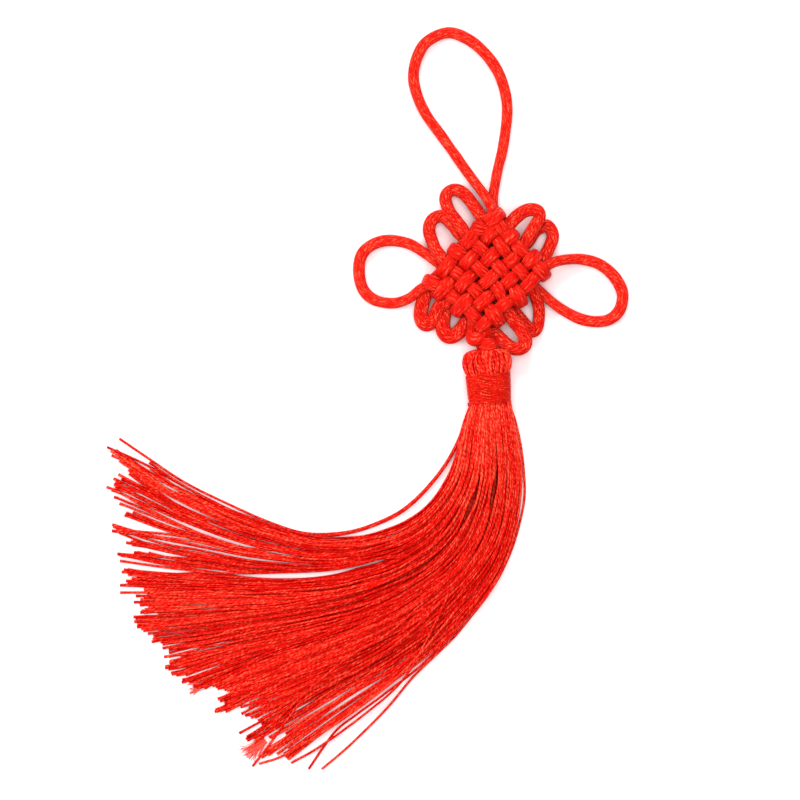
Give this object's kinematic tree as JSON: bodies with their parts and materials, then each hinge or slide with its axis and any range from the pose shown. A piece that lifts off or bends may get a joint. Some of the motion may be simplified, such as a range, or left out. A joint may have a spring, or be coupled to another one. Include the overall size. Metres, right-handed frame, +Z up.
{
  "type": "chinese knot tassel",
  "caption": "Flat knotted satin cord ornament with a hanging loop, side ears and small petals, ending in a bound tassel of loose threads swept to one side.",
  "frame": {"origin": "middle of the whole outline, on the surface it lies on", "axes": "+X to the right ear, +Y towards the hanging loop, +Z up from the surface"},
  "size_m": [0.1304, 0.1852, 0.0095],
  "materials": {
    "satin_cord": "satin",
    "tassel_yarn": "soft sheen",
    "binding_thread": "satin"
  },
  "bodies": {
    "root": {"knot_cord": "satin_cord", "tassel": "tassel_yarn", "binding": "binding_thread"}
  },
  "joints": []
}
